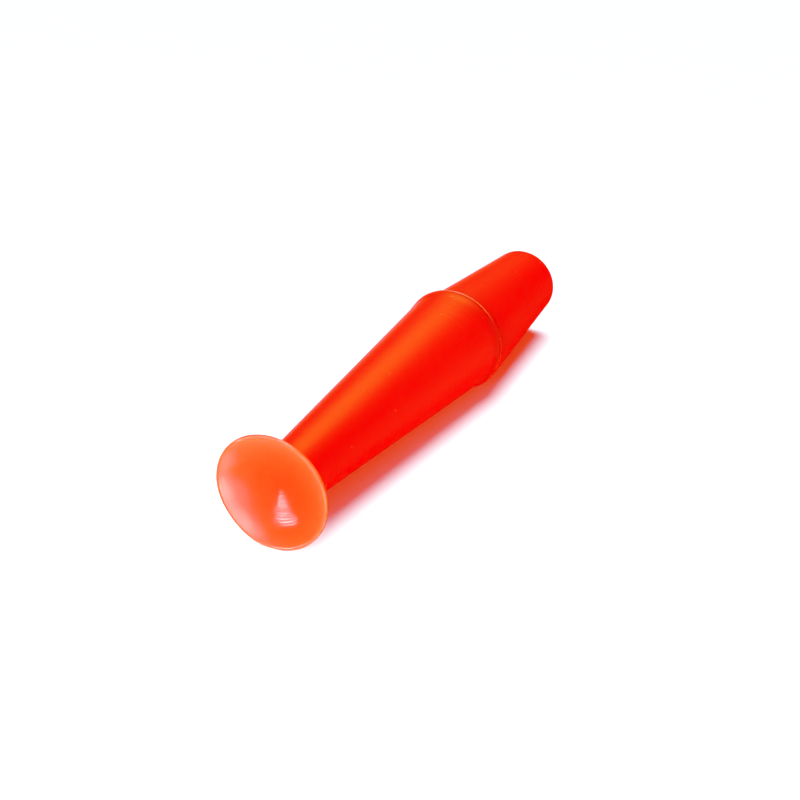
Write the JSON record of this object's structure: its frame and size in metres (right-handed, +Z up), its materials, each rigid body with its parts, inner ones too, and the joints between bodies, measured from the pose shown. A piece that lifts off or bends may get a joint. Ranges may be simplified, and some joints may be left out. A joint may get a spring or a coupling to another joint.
{
  "type": "contact lens suction plunger",
  "caption": "Small soft-vinyl suction plunger: a thin dished cup, a tapered grip barrel with a ridge at its wide end, and a narrower blunt tail.",
  "frame": {"origin": "on the surface the plunger lies on, under the middle of its length", "axes": "+X along the plunger from its cup to its tail, +Z up"},
  "size_m": [0.045, 0.009, 0.0089],
  "materials": {
    "cup_vinyl": "soft translucent orange vinyl, satin, with fine turned rings in the dish",
    "barrel_vinyl": "soft orange-red vinyl, satin, faint lengthwise and circumferential mould marks",
    "tail_vinyl": "soft orange-red vinyl, satin"
  },
  "bodies": {
    "root": {"suction_cup": "cup_vinyl", "grip_barrel": "barrel_vinyl", "tail_plug": "tail_vinyl"}
  },
  "joints": []
}
